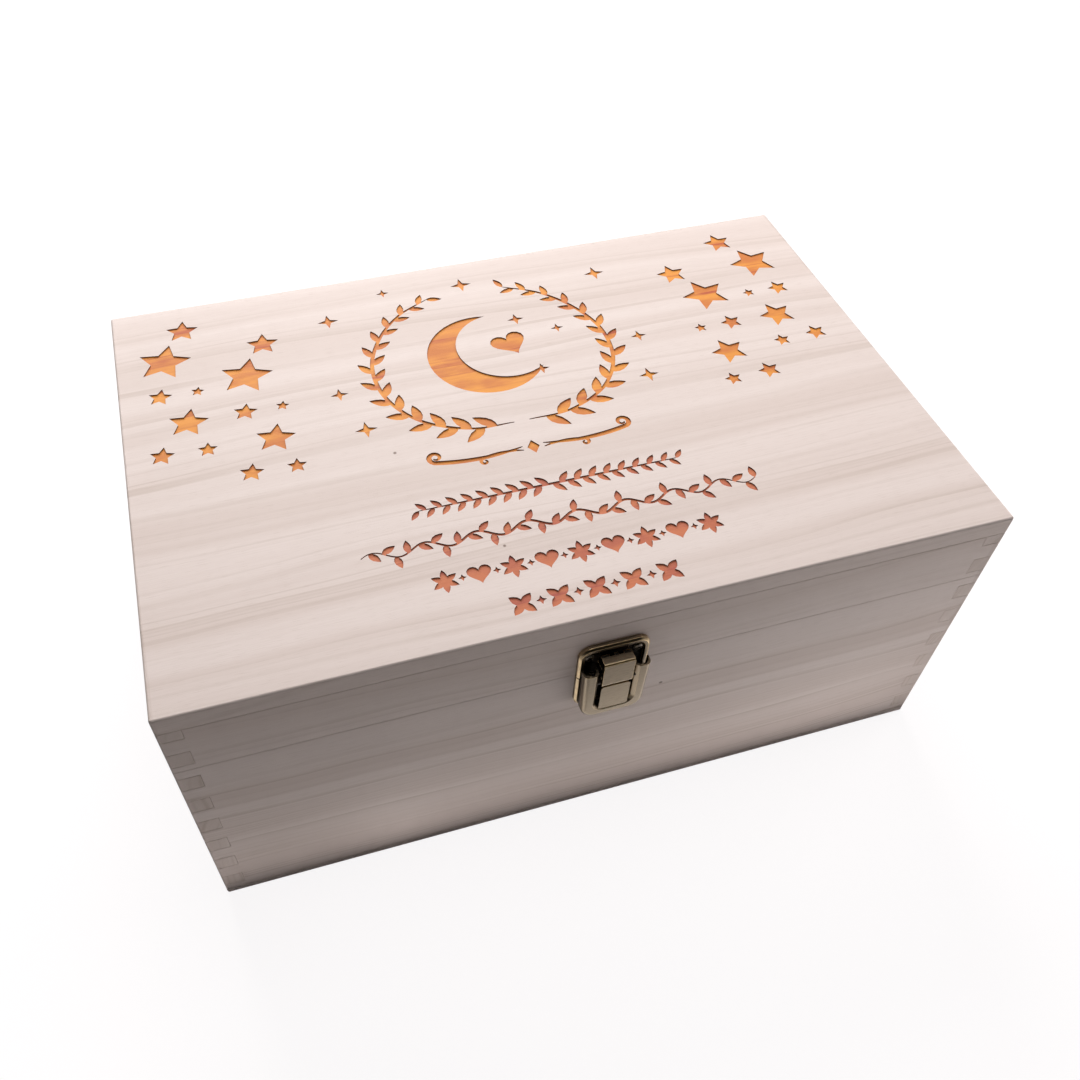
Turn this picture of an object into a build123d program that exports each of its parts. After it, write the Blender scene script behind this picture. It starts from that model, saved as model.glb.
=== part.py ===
"""Keepsake box: a finger-jointed wooden case, sawn open into body and lid, with two
butt hinges at the back and an over-centre draw latch on the front.

Frame: millimetres, +Z up, front of the box at -Y, origin under the middle of the base.
The box is glued up closed and then sawn apart at SPLIT_Z, so the fingers of its corner
joints run through the saw cut and each corner shows part of one finger on either side.
"""

from build123d import *
from math import ceil
import os

# ---------------------------------------------------------------- wooden case
WIDTH = 300.0           # along X, the front
DEPTH = 200.0           # along Y
HEIGHT = 130.0          # base to top
LID_HEIGHT = 32.0       # from the saw cut up to the top
TOP_THICKNESS = 8.0     # board that closes the lid
BASE_THICKNESS = 3.4    # thin board under the walls
WALL = 8.0              # thickness of the walls and of the lid's rails
FINGER = 7.85           # height of one finger of the corner joints
FIRST_FINGER = 5.2      # what is left of the uppermost finger, under the top board
ARRIS = 0.6             # bevel that the sander leaves on the boards' outer edges
TOP_ROUND = 0.9         # rounding round the top board

# ---------------------------------------------------------------- screws
SCREW_RADIUS = 1.1      # shank
SCREW_HEAD_RADIUS = 1.9
SCREW_CROWN_RADIUS = 1.2  # flat middle of the head
SCREW_HEAD = 0.8        # height of the head
SCREW_LENGTH = 6.5      # below the head
SHANK_SIDES = 8         # few, because there are many screws and no thread is modelled

# ---------------------------------------------------------------- hinges
HINGE_OFFSET = 85.0     # of each hinge from the middle of the box
HINGE_LENGTH = 25.0     # along X
LEAF_WIDTH = 10.5       # from the hinge axis to the leaf's free edge
LEAF_THICKNESS = 0.8
LEAF_CORNER = 2.0
KNUCKLE_RADIUS = 1.75
KNUCKLE_STANDOFF = 0.25  # between the knuckles and the wood behind them
KNUCKLE_GAP = 0.15      # between neighbouring knuckles
HINGE_PIN_RADIUS = 0.8
RUNNING_FIT = 0.05      # radial play of every pin in what turns on it
HINGE_SCREW_SPACING = 15.0
HINGE_SCREW_RISE = 6.4  # of the screws from the hinge axis

# ---------------------------------------------------------------- latch
# Heights are from the saw cut, and stand-off is from the front face of the wood.
LATCH_WIDTH = 26.0
KEEPER_HEIGHT = 16.0    # plate on the lid
STRIKE_HEIGHT = 18.5    # plate on the body
LATCH_GAP = 0.5         # between the two plates, across the saw cut
SHEET = 0.8             # metal of both plates, the strap and the catch
RIM_WIDTH = 2.0
RIM_HEIGHT = 2.2
PLATE_CORNER = 5.0
RIM_BEVEL = 0.75        # along the rim's outer edge
LATCH_SCREW_OFFSET = 9.0
KEEPER_SCREW_RISE = 9.9
STRIKE_SCREW_DROP = 11.5

LEVER_WIDTH = 24.5      # across the arms, at their top
LEVER_TAPER = 0.6       # how far each side draws in towards the bottom
LEVER_TOP = 6.5
LEVER_DROP = 19.9       # lowest edge
LEVER_CREST = 6.9       # stand-off of the front of the domed arms
LEVER_BACK = 3.2        # stand-off of the arms' open back
LEVER_SHEET = 0.6
LEVER_DOME = 1.9        # rounding of the arms' outer edges
LEVER_BEVEL = 1.2       # along the edges of the opening
LEVER_CORNER = 5.5
OPENING_WIDTH = 13.4    # between the arms
OPENING_DROP = 14.9
OPENING_CORNER = 3.0
TONGUE_WIDTH = 10.8     # flat tongue that stands in the opening
TONGUE_FRONT = 6.7
TONGUE_SHEET = 0.7
TONGUE_CORNER = 1.2

PIVOT_STANDOFF = 5.3    # of the lever's axis
PIVOT_RISE = 4.3
PIVOT_PIN_RADIUS = 0.5
PIVOT_PIN_SEAT = 0.2    # how deep each rivet ends in its arm's outer wall
EAR_RADIUS = 0.9
EAR_DROP = 7.5          # where the ear's foot ends on the lower plate

HOOK_STANDOFF = 4.85    # of the strap's axis, which the lever carries
HOOK_RISE = 0.5
STRAP_WIDTH = 11.2
CURL_RADIUS = 2.2       # outside of the strap's rolled lower edge
CURL_TURN = 300.0       # degrees through which it is rolled
STRAP_TOP = 12.0
STRAP_REACH = 5.0       # how far the top flange runs back from the front panel
STRAP_BEND = 0.9        # outer radius of the strap's folds
CLAW_WIDTH = 3.0        # each of the two claws at the flange's back corners
NIB_WIDTH = 1.6         # of the narrow claw between them
CLAW_DROP = 1.25        # how far the claws reach down from the flange's top
CLAW_SETBACK = 1.4      # depth of the notches between the claws
CATCH_WIDTH = 10.4
CATCH_RISE = 5.2        # where the catch leaves the lid's plate
CATCH_REACH = 5.95      # stand-off of the catch's front
CATCH_BEND = 1.2        # outer radius of its fold
WINDOW_MARGIN = 0.6     # between the hole the catch leaves in its plate and the rim
CATCH_CLEARANCE = 0.15  # between the catch's edge and the flange that bears on it
BARREL_CLEARANCE = 0.25  # between the strap's rolled edge and the tongue

# ---------------------------------------------------------------- derived places
SPLIT_Z = HEIGHT - LID_HEIGHT
RAIL_TOP = HEIGHT - TOP_THICKNESS
ARM_WIDTH = (LEVER_WIDTH - OPENING_WIDTH) / 2
ARM_X = (OPENING_WIDTH + ARM_WIDTH) / 2
PIVOT_PIN_LENGTH = ARM_WIDTH - LEVER_SHEET + PIVOT_PIN_SEAT
STRAP_FRONT = HOOK_STANDOFF + CURL_RADIUS
TONGUE_TOP = HOOK_RISE - CURL_RADIUS - BARREL_CLEARANCE
CATCH_TOP = STRAP_TOP - SHEET - CATCH_CLEARANCE

FRONT = Plane(origin=(0, -DEPTH / 2, SPLIT_Z), x_dir=(1, 0, 0), z_dir=(0, -1, 0))
SIDE = Plane(origin=(0, -DEPTH / 2, SPLIT_Z), x_dir=(0, -1, 0), z_dir=(-1, 0, 0))
BACK = Plane(origin=(0, DEPTH / 2, SPLIT_Z), x_dir=(-1, 0, 0), z_dir=(0, 1, 0))

LOW = (Align.CENTER, Align.CENTER, Align.MIN)


# ---------------------------------------------------------------- wood
def finger_bands(low, high, first):
    """Every second finger between two heights. The fingers count down from the top board,
    and first is 0 for those of the side boards, 1 for those of the front and back."""
    bands = []
    joint = RAIL_TOP - FIRST_FINGER
    for n in range(ceil((RAIL_TOP - BASE_THICKNESS) / FINGER) + 1):
        top = RAIL_TOP if n == 0 else joint - (n - 1) * FINGER
        bottom = joint - n * FINGER
        if n % 2 == first and bottom < high and top > low:
            bands.append((max(bottom, low), min(top, high)))
    return bands


def board(along_x, low, high, sign):
    """One wall or rail. Its ends are cut away where the boards it meets have fingers."""
    size = (WIDTH, WALL) if along_x else (WALL, DEPTH)
    middle = Vector(0, sign * (DEPTH - WALL) / 2) if along_x else Vector(sign * (WIDTH - WALL) / 2, 0)
    body = Pos(middle.X, middle.Y, low) * Box(*size, high - low, align=LOW)
    for bottom, top in finger_bands(low, high, 0 if along_x else 1):
        for end in (-1, 1):
            x = end * (WIDTH - WALL) / 2 if along_x else middle.X
            y = middle.Y if along_x else end * (DEPTH - WALL) / 2
            body -= Pos(x, y, bottom) * Box(WALL, WALL, top - bottom, align=LOW)
    outer = [e for e in body.edges().filter_by(Axis.Z) if is_outer_corner(e)]
    return chamfer(outer, ARRIS)


def is_outer_corner(edge):
    place = edge.center()
    return abs(abs(place.X) - WIDTH / 2) < 1e-6 and abs(abs(place.Y) - DEPTH / 2) < 1e-6


def panel(low, thickness):
    """A board that covers the whole case, its four upright corners bevelled."""
    body = Pos(0, 0, low) * Box(WIDTH, DEPTH, thickness, align=LOW)
    return chamfer(body.edges().filter_by(Axis.Z), ARRIS)


def top_panel():
    body = panel(RAIL_TOP, TOP_THICKNESS)
    return fillet(body.faces().sort_by(Axis.Z)[-1].edges(), TOP_ROUND)


def base_panel():
    body = panel(0, BASE_THICKNESS)
    return chamfer(body.faces().sort_by(Axis.Z)[0].edges(), ARRIS)


# ---------------------------------------------------------------- screws
def shank(length):
    """Many-sided bar of the given length, up from the tip of a screw whose head is at z = 0."""
    return Pos(0, 0, -SCREW_LENGTH) * extrude(RegularPolygon(SCREW_RADIUS, SHANK_SIDES), length)


def screw():
    """Pan-head wood screw, its head standing on z = 0 and its shank below."""
    head = Cone(SCREW_HEAD_RADIUS, SCREW_CROWN_RADIUS, SCREW_HEAD, align=LOW)
    return head + shank(SCREW_LENGTH)


def screws(face, sheet, places):
    """The same screw at each place of a face, its head seated on metal of the given sheet."""
    return Compound(children=[face * Pos(x, z, sheet) * screw() for x, z in places])


def pierce(body, face, places):
    """Screw holes: the shank's own shape, through metal and wood alike."""
    for x, z in places:
        body -= face * Pos(x, z) * shank(2 * SCREW_LENGTH)
    return body


# ---------------------------------------------------------------- hinges
def knuckles(middle):
    """X ranges of the knuckles of one leaf: the middle one, or the two outer ones."""
    inner = HINGE_LENGTH / 6
    if middle:
        return [(-inner, inner)]
    return [(-HINGE_LENGTH / 2, -inner - KNUCKLE_GAP), (inner + KNUCKLE_GAP, HINGE_LENGTH / 2)]


def bar(x0, x1, radius):
    """A round bar along X on the hinge axis, in the frame of the BACK plane."""
    rise = KNUCKLE_STANDOFF + KNUCKLE_RADIUS
    return Pos((x0 + x1) / 2, 0, rise) * Rot(0, 90, 0) * Cylinder(radius, x1 - x0)


def leaf(side, middle):
    """One hinge leaf: a plate with two rounded corners and its knuckles, above the axis
    for side 1 and below it for side -1."""
    plate = Pos(0, side * LEAF_WIDTH / 2) * Rectangle(HINGE_LENGTH, LEAF_WIDTH)
    free = plate.vertices().sort_by(Axis.Y)[-2:] if side > 0 else plate.vertices().sort_by(Axis.Y)[:2]
    body = extrude(fillet(free, LEAF_CORNER), LEAF_THICKNESS)
    notch = 2 * (KNUCKLE_RADIUS + KNUCKLE_GAP)
    for x0, x1 in knuckles(not middle):
        wide = x1 - x0 + 2 * KNUCKLE_GAP
        body -= Pos((x0 + x1) / 2, 0) * Box(wide, notch, 4 * KNUCKLE_RADIUS)
    for x0, x1 in knuckles(middle):
        body += bar(x0, x1, KNUCKLE_RADIUS)
        web = KNUCKLE_STANDOFF + KNUCKLE_RADIUS
        body += Pos((x0 + x1) / 2, side * KNUCKLE_RADIUS / 2, web / 2) * Box(
            x1 - x0, KNUCKLE_RADIUS, web
        )
    play = RUNNING_FIT if middle else 0
    return body - bar(-HINGE_LENGTH, HINGE_LENGTH, HINGE_PIN_RADIUS + play)


def hinge_places(side):
    """Screw places of both hinges' leaves, on the BACK plane."""
    half = HINGE_SCREW_SPACING / 2
    return [
        (x + step, side * HINGE_SCREW_RISE)
        for x in (-HINGE_OFFSET, HINGE_OFFSET)
        for step in (-half, half)
    ]


# ---------------------------------------------------------------- latch plates
def plate_outline(side, inset):
    """Outline of a latch plate, which grows from the saw cut upwards or downwards and has
    its two far corners rounded. The inset one is the tray inside the rim, open at the cut."""
    height = (KEEPER_HEIGHT if side > 0 else STRIKE_HEIGHT) - inset
    near = LATCH_GAP / 2 if inset == 0 else -LATCH_GAP
    middle = side * (near + height) / 2
    shape = Pos(0, middle) * Rectangle(LATCH_WIDTH - 2 * inset, height - near)
    far = shape.vertices().sort_by(Axis.Y)
    return fillet(far[-2:] if side > 0 else far[:2], PLATE_CORNER - inset)


def latch_tray(side):
    """Stamped plate with a raised rim on three sides, flat on the wood."""
    body = extrude(plate_outline(side, 0), RIM_HEIGHT)
    crown = body.faces().sort_by(Axis.Z)[-1]
    cut_side = crown.edges().sort_by(Axis.Y)[0 if side > 0 else -1]
    body = chamfer([e for e in crown.edges() if e != cut_side], RIM_BEVEL)
    return body - Pos(0, 0, SHEET) * extrude(plate_outline(side, RIM_WIDTH), RIM_HEIGHT)


def latch_places(side):
    rise = KEEPER_SCREW_RISE if side > 0 else -STRIKE_SCREW_DROP
    return [(-LATCH_SCREW_OFFSET, rise), (LATCH_SCREW_OFFSET, rise)]


def strip(line, inside, width):
    """Sheet metal folded along a side-view line, its other face on the side given."""
    face = make_face(offset(line, amount=SHEET, side=inside))
    return extrude(SIDE * face, width / 2, both=True)


def keeper_plate():
    """Plate on the lid, with the catch lanced out of it and turned up to take the strap."""
    body = FRONT * latch_tray(1)
    low = CATCH_RISE + SHEET
    high = KEEPER_HEIGHT - RIM_WIDTH - WINDOW_MARGIN
    body -= FRONT * extrude(Pos(0, (low + high) / 2) * Rectangle(CATCH_WIDTH, high - low), SHEET)
    root = (SHEET / 2, CATCH_RISE)
    line = FilletPolyline(root, (CATCH_REACH, CATCH_RISE), (CATCH_REACH, CATCH_TOP), radius=CATCH_BEND)
    return pierce(body + strip(line, Side.LEFT, CATCH_WIDTH), FRONT, latch_places(1))


def ear():
    """Tab that stands off the lower plate and carries the lever's pivot."""
    foot = Line((SHEET / 2, -EAR_DROP), (SHEET / 2, -LATCH_GAP))
    tip = CenterArc((PIVOT_STANDOFF, PIVOT_RISE), EAR_RADIUS, 0, 360)
    hole = Pos(PIVOT_STANDOFF, PIVOT_RISE) * Circle(PIVOT_PIN_RADIUS + RUNNING_FIT)
    return extrude(SIDE * (make_hull([foot, tip]) - hole), SHEET / 2, both=True)


def strike_plate():
    """Plate on the body, with the two ears that the lever's arms close over."""
    body = FRONT * latch_tray(-1)
    for x in (-ARM_X, ARM_X):
        body += Pos(x, 0, 0) * ear()
    return pierce(body, FRONT, latch_places(-1))


# ---------------------------------------------------------------- latch lever and strap
def lever_outline(inset, top):
    """Front view of the lever: a U that narrows downwards. Inset, it is its hollow."""
    half = LEVER_WIDTH / 2 - inset
    low = -LEVER_DROP + inset
    sides = [(-half, top), (-half + LEVER_TAPER, low), (half - LEVER_TAPER, low), (half, top)]
    outer = make_face(Polyline(*sides, close=True))
    outer = fillet(outer.vertices().sort_by(Axis.Y)[:2], LEVER_CORNER - inset)
    open_half = OPENING_WIDTH / 2 + inset
    open_low = -OPENING_DROP - inset
    height = top - open_low + LEVER_SHEET
    opening = Pos(0, open_low + height / 2) * Rectangle(2 * open_half, height)
    opening = fillet(opening.vertices().sort_by(Axis.Y)[:2], OPENING_CORNER + inset)
    return outer - opening


def long_edges(body):
    """Edges of the front face, without those across the tops of the two arms."""
    crown = body.faces().sort_by(Axis.Z)[-1]
    ends = crown.edges().filter_by(Axis.X).sort_by(Axis.Y)[-2:]
    return [e for e in crown.edges() if e not in ends]


def borders_opening(edge):
    place = edge.center()
    return place.Y > -(OPENING_DROP + LEVER_DROP) / 2 and abs(place.X) < ARM_X


def lever():
    """Stamped lever: a hollow domed U, open at its back and at the tops of its arms, with
    a flat tongue that stands up inside the U below the strap."""
    body = Pos(0, 0, LEVER_BACK) * extrude(lever_outline(0, LEVER_TOP), LEVER_CREST - LEVER_BACK)
    body = chamfer([e for e in long_edges(body) if borders_opening(e)], LEVER_BEVEL)
    body = fillet([e for e in long_edges(body) if not borders_opening(e)], LEVER_DOME)
    depth = LEVER_CREST - LEVER_SHEET - LEVER_BACK
    hollow = Pos(0, 0, LEVER_BACK) * extrude(lever_outline(LEVER_SHEET, LEVER_TOP + LEVER_SHEET), depth)
    body -= chamfer(long_edges(hollow), LEVER_DOME - LEVER_SHEET)
    root = -OPENING_DROP - LEVER_DOME
    tongue = Pos(0, (TONGUE_TOP + root) / 2) * Rectangle(TONGUE_WIDTH, TONGUE_TOP - root)
    tongue = fillet(tongue.vertices().sort_by(Axis.Y)[-2:], TONGUE_CORNER)
    body += Pos(0, 0, TONGUE_FRONT - TONGUE_SHEET) * extrude(tongue, TONGUE_SHEET)
    body = FRONT * body
    body -= lever_pins()
    return body - strap_pin()


def cross_bar(x, length, standoff, rise, radius):
    """A round bar along X in the latch, centred on x."""
    return SIDE * Pos(standoff, rise, -x) * Cylinder(radius, length)


def pin_radius():
    return CURL_RADIUS - SHEET - RUNNING_FIT


def lever_pins():
    """A rivet from each arm's inner wall, through the ear, into the outer wall."""
    x = (OPENING_WIDTH + PIVOT_PIN_LENGTH) / 2
    return Compound(
        children=[
            cross_bar(place, PIVOT_PIN_LENGTH, PIVOT_STANDOFF, PIVOT_RISE, PIVOT_PIN_RADIUS)
            for place in (-x, x)
        ]
    )


def strap_pin():
    """Rod between the inner sides of the arms, through the strap's rolled edge."""
    return cross_bar(0, OPENING_WIDTH + 2 * LEVER_SHEET, HOOK_STANDOFF, HOOK_RISE, pin_radius())


def strap():
    """Draw strap: rolled round its rod at the bottom, flat in front, folded back over the
    catch at the top and turned down behind it in two wide claws and a narrow one."""
    back = STRAP_FRONT - STRAP_REACH
    folds = [(back, STRAP_TOP - CLAW_DROP), (back, STRAP_TOP), (STRAP_FRONT, STRAP_TOP)]
    panel_line = FilletPolyline(*folds, (STRAP_FRONT, HOOK_RISE), radius=STRAP_BEND)
    roll = CenterArc((HOOK_STANDOFF, HOOK_RISE), CURL_RADIUS, 0, -CURL_TURN)
    body = strip(panel_line, Side.RIGHT, STRAP_WIDTH) + strip(roll, Side.RIGHT, STRAP_WIDTH)
    gap = (STRAP_WIDTH - 2 * CLAW_WIDTH - NIB_WIDTH) / 2
    for x in (-(gap + NIB_WIDTH) / 2, (gap + NIB_WIDTH) / 2):
        body -= SIDE * Pos(back, STRAP_TOP, x) * Box(2 * CLAW_SETBACK, 3 * CLAW_DROP, gap)
    return body


# ---------------------------------------------------------------- assembly
def build():
    nodes = {
        "base_panel": base_panel(),
        "lid_top_panel": top_panel(),
    }
    for name, along_x, sign in (
        ("front", True, -1), ("back", True, 1), ("left", False, -1), ("right", False, 1)
    ):
        nodes[f"{name}_wall"] = board(along_x, BASE_THICKNESS, SPLIT_Z, sign)
        nodes[f"lid_{name}_rail"] = board(along_x, SPLIT_Z, RAIL_TOP, sign)
    nodes["front_wall"] = pierce(nodes["front_wall"], FRONT, latch_places(-1))
    nodes["lid_front_rail"] = pierce(nodes["lid_front_rail"], FRONT, latch_places(1))
    nodes["back_wall"] = pierce(nodes["back_wall"], BACK, hinge_places(-1))
    nodes["lid_back_rail"] = pierce(nodes["lid_back_rail"], BACK, hinge_places(1))

    for name, x in (("left", HINGE_OFFSET), ("right", -HINGE_OFFSET)):
        place = BACK * Pos(x, 0, 0)
        nodes[f"hinge_{name}_body_leaf"] = pierce(place * leaf(-1, False), BACK, hinge_places(-1))
        nodes[f"hinge_{name}_lid_leaf"] = pierce(place * leaf(1, True), BACK, hinge_places(1))
        nodes[f"hinge_{name}_pin"] = place * bar(-HINGE_LENGTH / 2, HINGE_LENGTH / 2, HINGE_PIN_RADIUS)
    nodes["hinge_body_screws"] = screws(BACK, LEAF_THICKNESS, hinge_places(-1))
    nodes["hinge_lid_screws"] = screws(BACK, LEAF_THICKNESS, hinge_places(1))

    nodes["latch_keeper_plate"] = keeper_plate()
    nodes["latch_strike_plate"] = strike_plate()
    nodes["latch_lever"] = lever()
    nodes["latch_lever_pins"] = lever_pins()
    nodes["latch_strap"] = strap()
    nodes["latch_strap_pin"] = strap_pin()
    nodes["latch_keeper_screws"] = screws(FRONT, SHEET, latch_places(1))
    nodes["latch_strike_screws"] = screws(FRONT, SHEET, latch_places(-1))
    return nodes


os.makedirs("parts", exist_ok=True)
for node, shape in build().items():
    export_step(shape, f"parts/{node}.step")
    print(node, round(shape.volume, 2))
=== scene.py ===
# %% [markdown]
# # A keepsake box
# The box is bare pale wood with finger-jointed corners. Its lid is engraved by a laser, and a small
# antique-bronze draw latch closes it. The construction was made in CAD, and this script is the second
# half of the work: it dresses that construction. The CAD model is loaded as a frame that never moves,
# and every piece made here rides on one of its four bodies: case, lid, lever and strap.

# %% Load the frame
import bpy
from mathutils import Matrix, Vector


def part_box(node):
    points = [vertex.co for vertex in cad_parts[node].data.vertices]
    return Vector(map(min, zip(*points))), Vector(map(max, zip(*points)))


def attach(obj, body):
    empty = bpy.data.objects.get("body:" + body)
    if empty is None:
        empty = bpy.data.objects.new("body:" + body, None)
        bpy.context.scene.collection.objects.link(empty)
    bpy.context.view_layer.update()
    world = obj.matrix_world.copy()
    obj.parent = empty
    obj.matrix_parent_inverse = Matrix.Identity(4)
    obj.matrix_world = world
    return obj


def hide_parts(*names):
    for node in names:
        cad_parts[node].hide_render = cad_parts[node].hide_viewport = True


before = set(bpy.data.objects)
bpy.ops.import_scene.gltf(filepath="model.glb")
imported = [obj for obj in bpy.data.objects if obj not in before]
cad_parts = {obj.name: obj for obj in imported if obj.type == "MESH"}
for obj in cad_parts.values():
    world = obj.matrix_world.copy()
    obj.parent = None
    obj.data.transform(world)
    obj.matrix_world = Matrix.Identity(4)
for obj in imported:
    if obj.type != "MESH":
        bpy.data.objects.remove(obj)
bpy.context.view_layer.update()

import math

import bmesh
import bpy
from mathutils import Matrix, Vector

MM = 0.001

# %% [markdown]
# ## Sizes
# Sizes are read from the frame and never typed again, so this script fits the box even after a
# resize. The front of the box looks along -Y. The saw cut is where the lid's rails meet the walls.

# %% Read the case's sizes
top_low, top_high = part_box("lid_top_panel")
rail_low, rail_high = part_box("lid_front_rail")
HALF_WIDTH, HALF_DEPTH = top_high.x, top_high.y
TOP_Z, SPLIT_Z, RAIL_TOP = top_high.z, rail_low.z, top_low.z
WALL = rail_high.y - rail_low.y
print(f"case {2e3 * HALF_WIDTH:.0f} x {2e3 * HALF_DEPTH:.0f} x {1e3 * TOP_Z:.0f} mm")

# %% [markdown]
# ## Camera
# A product photograph is taken with a real lens from a real place. The place, the direction and the
# focal length were solved from the six corners of the box that the photograph shows. The picture was
# cropped off centre, and the small shift repeats that.

# %% Camera
CAMERA_PLACE = Vector((-0.09955, -0.28023, 0.40084))
CAMERA_HEADING = 17.796
CAMERA_DOWN = 49.785
CAMERA_ROLL = 1.488

scene = bpy.context.scene
camera_data = bpy.data.cameras.new("camera")
camera_data.lens = 34.51
camera_data.shift_x, camera_data.shift_y = 0.0375, 0.0046
camera = bpy.data.objects.new("camera", camera_data)
turn = Matrix.Rotation(math.radians(-CAMERA_HEADING), 4, "Z")
tilt = Matrix.Rotation(math.radians(90 - CAMERA_DOWN), 4, "X")
roll = Matrix.Rotation(math.radians(CAMERA_ROLL), 4, "Z")
camera.matrix_world = Matrix.Translation(CAMERA_PLACE) @ turn @ tilt @ roll
scene.collection.objects.link(camera)
scene.camera = camera
scene.view_settings.view_transform = "Standard"
print("camera:", camera_data.lens, "mm lens")

# %% [markdown]
# ## Helpers for node trees
# Node trees read best as arithmetic. `plug` puts a number or another node's output into a socket, and
# `add` makes a node with its settings and inputs in one line.


# %% Node helpers
def plug(tree, value, socket):
    if isinstance(value, bpy.types.NodeSocket):
        tree.links.new(value, socket)
    elif value is not None:
        socket.default_value = value


def add(tree, kind, *values, **settings):
    """A node, its settings, and the values of its inputs in their order."""
    node = tree.nodes.new(kind)
    for key, value in settings.items():
        setattr(node, key, value)
    sockets = [s for s in node.inputs if s.enabled]
    for socket, value in zip(sockets, values):
        plug(tree, value, socket)
    return node


def calc(tree, operation, *values, clamp=False):
    node = add(tree, "ShaderNodeMath", operation=operation, use_clamp=clamp)
    for socket, value in zip(node.inputs, values):
        plug(tree, value, socket)
    return node.outputs[0]


def ramp(tree, value, low, high, to_low=0.0, to_high=1.0):
    """The value, eased from one range to another."""
    node = add(tree, "ShaderNodeMapRange", interpolation_type="SMOOTHSTEP")
    for name, v in (("Value", value), ("From Min", low), ("From Max", high),
                    ("To Min", to_low), ("To Max", to_high)):
        plug(tree, v, node.inputs[name])
    return node.outputs["Result"]


def mix(tree, factor, a, b, blend="MIX"):
    node = add(tree, "ShaderNodeMix", data_type="RGBA", blend_type=blend)
    plug(tree, factor, node.inputs["Factor"])
    plug(tree, a, node.inputs[6])
    plug(tree, b, node.inputs[7])
    return node.outputs[2]


def noise(tree, vector, scale, detail=2.0, roughness=0.5, stretch=None, dimensions="3D", w=None):
    """A noise value. stretch scales the coordinates first, so that the pattern is longer one way."""
    if stretch is not None:
        vector = add(tree, "ShaderNodeVectorMath", vector, stretch, operation="MULTIPLY").outputs[0]
    node = add(tree, "ShaderNodeTexNoise", noise_dimensions=dimensions)
    if vector is not None:
        plug(tree, vector, node.inputs["Vector"])
    for name, v in (("Scale", scale), ("Detail", detail), ("Roughness", roughness), ("W", w)):
        if v is not None:
            plug(tree, v, node.inputs[name])
    return node.outputs[0]


def new_group(name, inputs, outputs, kind="ShaderNodeTree"):
    """An empty node group with named sockets: (name, type, default) for each input."""
    tree = bpy.data.node_groups.new(name, kind)
    for label, socket_type, value in inputs:
        socket = tree.interface.new_socket(name=label, in_out="INPUT", socket_type=socket_type)
        if value is not None:
            socket.default_value = value
    for label, socket_type in outputs:
        tree.interface.new_socket(name=label, in_out="OUTPUT", socket_type=socket_type)
    return tree, tree.nodes.new("NodeGroupInput").outputs, tree.nodes.new("NodeGroupOutput").inputs


# %% [markdown]
# ## The wood's grain
# A tree lays down one ring a year, and a board is a slice through those rings. So the grain isn't
# painted on each face: it is worked out in space from the distance to the middle of the log, and the
# faces of the board simply show what they cut. Long grain, end grain and the lines that turn round a
# corner then agree without any effort. Slow noise bends the rings, a second noise spaces them
# unevenly, and fine noise stretched along the log draws the fibres and the pores.

# %% Shader group: sawn wood
COLOUR, FLOAT, VECTOR = "NodeSocketColor", "NodeSocketFloat", "NodeSocketVector"
PALE = (0.80, 0.695, 0.655, 1)
TAN = (0.67, 0.555, 0.505, 1)
RING_BROWN = (0.47, 0.365, 0.30, 1)

wood_tree, given, result = new_group(
    "sawn_wood",
    [("Vector", VECTOR, None), ("Pale", COLOUR, PALE), ("Tan", COLOUR, TAN), ("Ring", COLOUR, RING_BROWN),
     ("Log Y", FLOAT, 0.1), ("Log Z", FLOAT, 0.1), ("Ring Width", FLOAT, 0.004),
     ("Ring Strength", FLOAT, 0.5), ("Band Strength", FLOAT, 0.6), ("Fibre Strength", FLOAT, 0.5),
     ("Seed", FLOAT, 0.0)],
    [("Color", COLOUR), ("Roughness", FLOAT), ("Height", FLOAT), ("Grain", FLOAT)],
)
shifted = add(wood_tree, "ShaderNodeVectorMath", given["Vector"], operation="ADD")
seed_vector = add(wood_tree, "ShaderNodeCombineXYZ", given["Seed"], given["Seed"], given["Seed"])
plug(wood_tree, seed_vector.outputs[0], shifted.inputs[1])
place = shifted.outputs[0]
bend = noise(wood_tree, place, 1.0, 2.0, 0.45, stretch=(3.0, 16.0, 16.0))
wander = noise(wood_tree, place, 1.0, 2.0, 0.5, stretch=(11.0, 60.0, 60.0))
parts = add(wood_tree, "ShaderNodeSeparateXYZ", given["Vector"]).outputs
across = calc(wood_tree, "SUBTRACT", parts["Y"], given["Log Y"])
up = calc(wood_tree, "SUBTRACT", parts["Z"], given["Log Z"])
squares = calc(wood_tree, "MULTIPLY_ADD", up, up, calc(wood_tree, "MULTIPLY", across, across))
radius = calc(wood_tree, "SQRT", squares)
radius = calc(wood_tree, "MULTIPLY_ADD", calc(wood_tree, "SUBTRACT", bend, 0.5), 0.030, radius)
radius = calc(wood_tree, "MULTIPLY_ADD", calc(wood_tree, "SUBTRACT", wander, 0.5), 0.0022, radius)
uneven = noise(wood_tree, None, 1.0, 2.0, 0.6, dimensions="1D",
               w=calc(wood_tree, "MULTIPLY_ADD", radius, 70.0, given["Seed"]))
turns = calc(wood_tree, "DIVIDE", radius, given["Ring Width"])
turns = calc(wood_tree, "MULTIPLY_ADD", uneven, 5.0, turns)
within = calc(wood_tree, "FRACT", turns)
darkening = ramp(wood_tree, within, 0.35, 0.90)
late = calc(wood_tree, "MULTIPLY", darkening, ramp(wood_tree, within, 0.90, 1.0, 1.0, 0.0))
ring_tone = noise(wood_tree, None, 1.0, 2.0, 0.7, dimensions="1D",
                  w=calc(wood_tree, "MULTIPLY_ADD", radius, 190.0, 7.0))
patch = noise(wood_tree, place, 1.0, 3.0, 0.5, stretch=(7.0, 45.0, 45.0))
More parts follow.
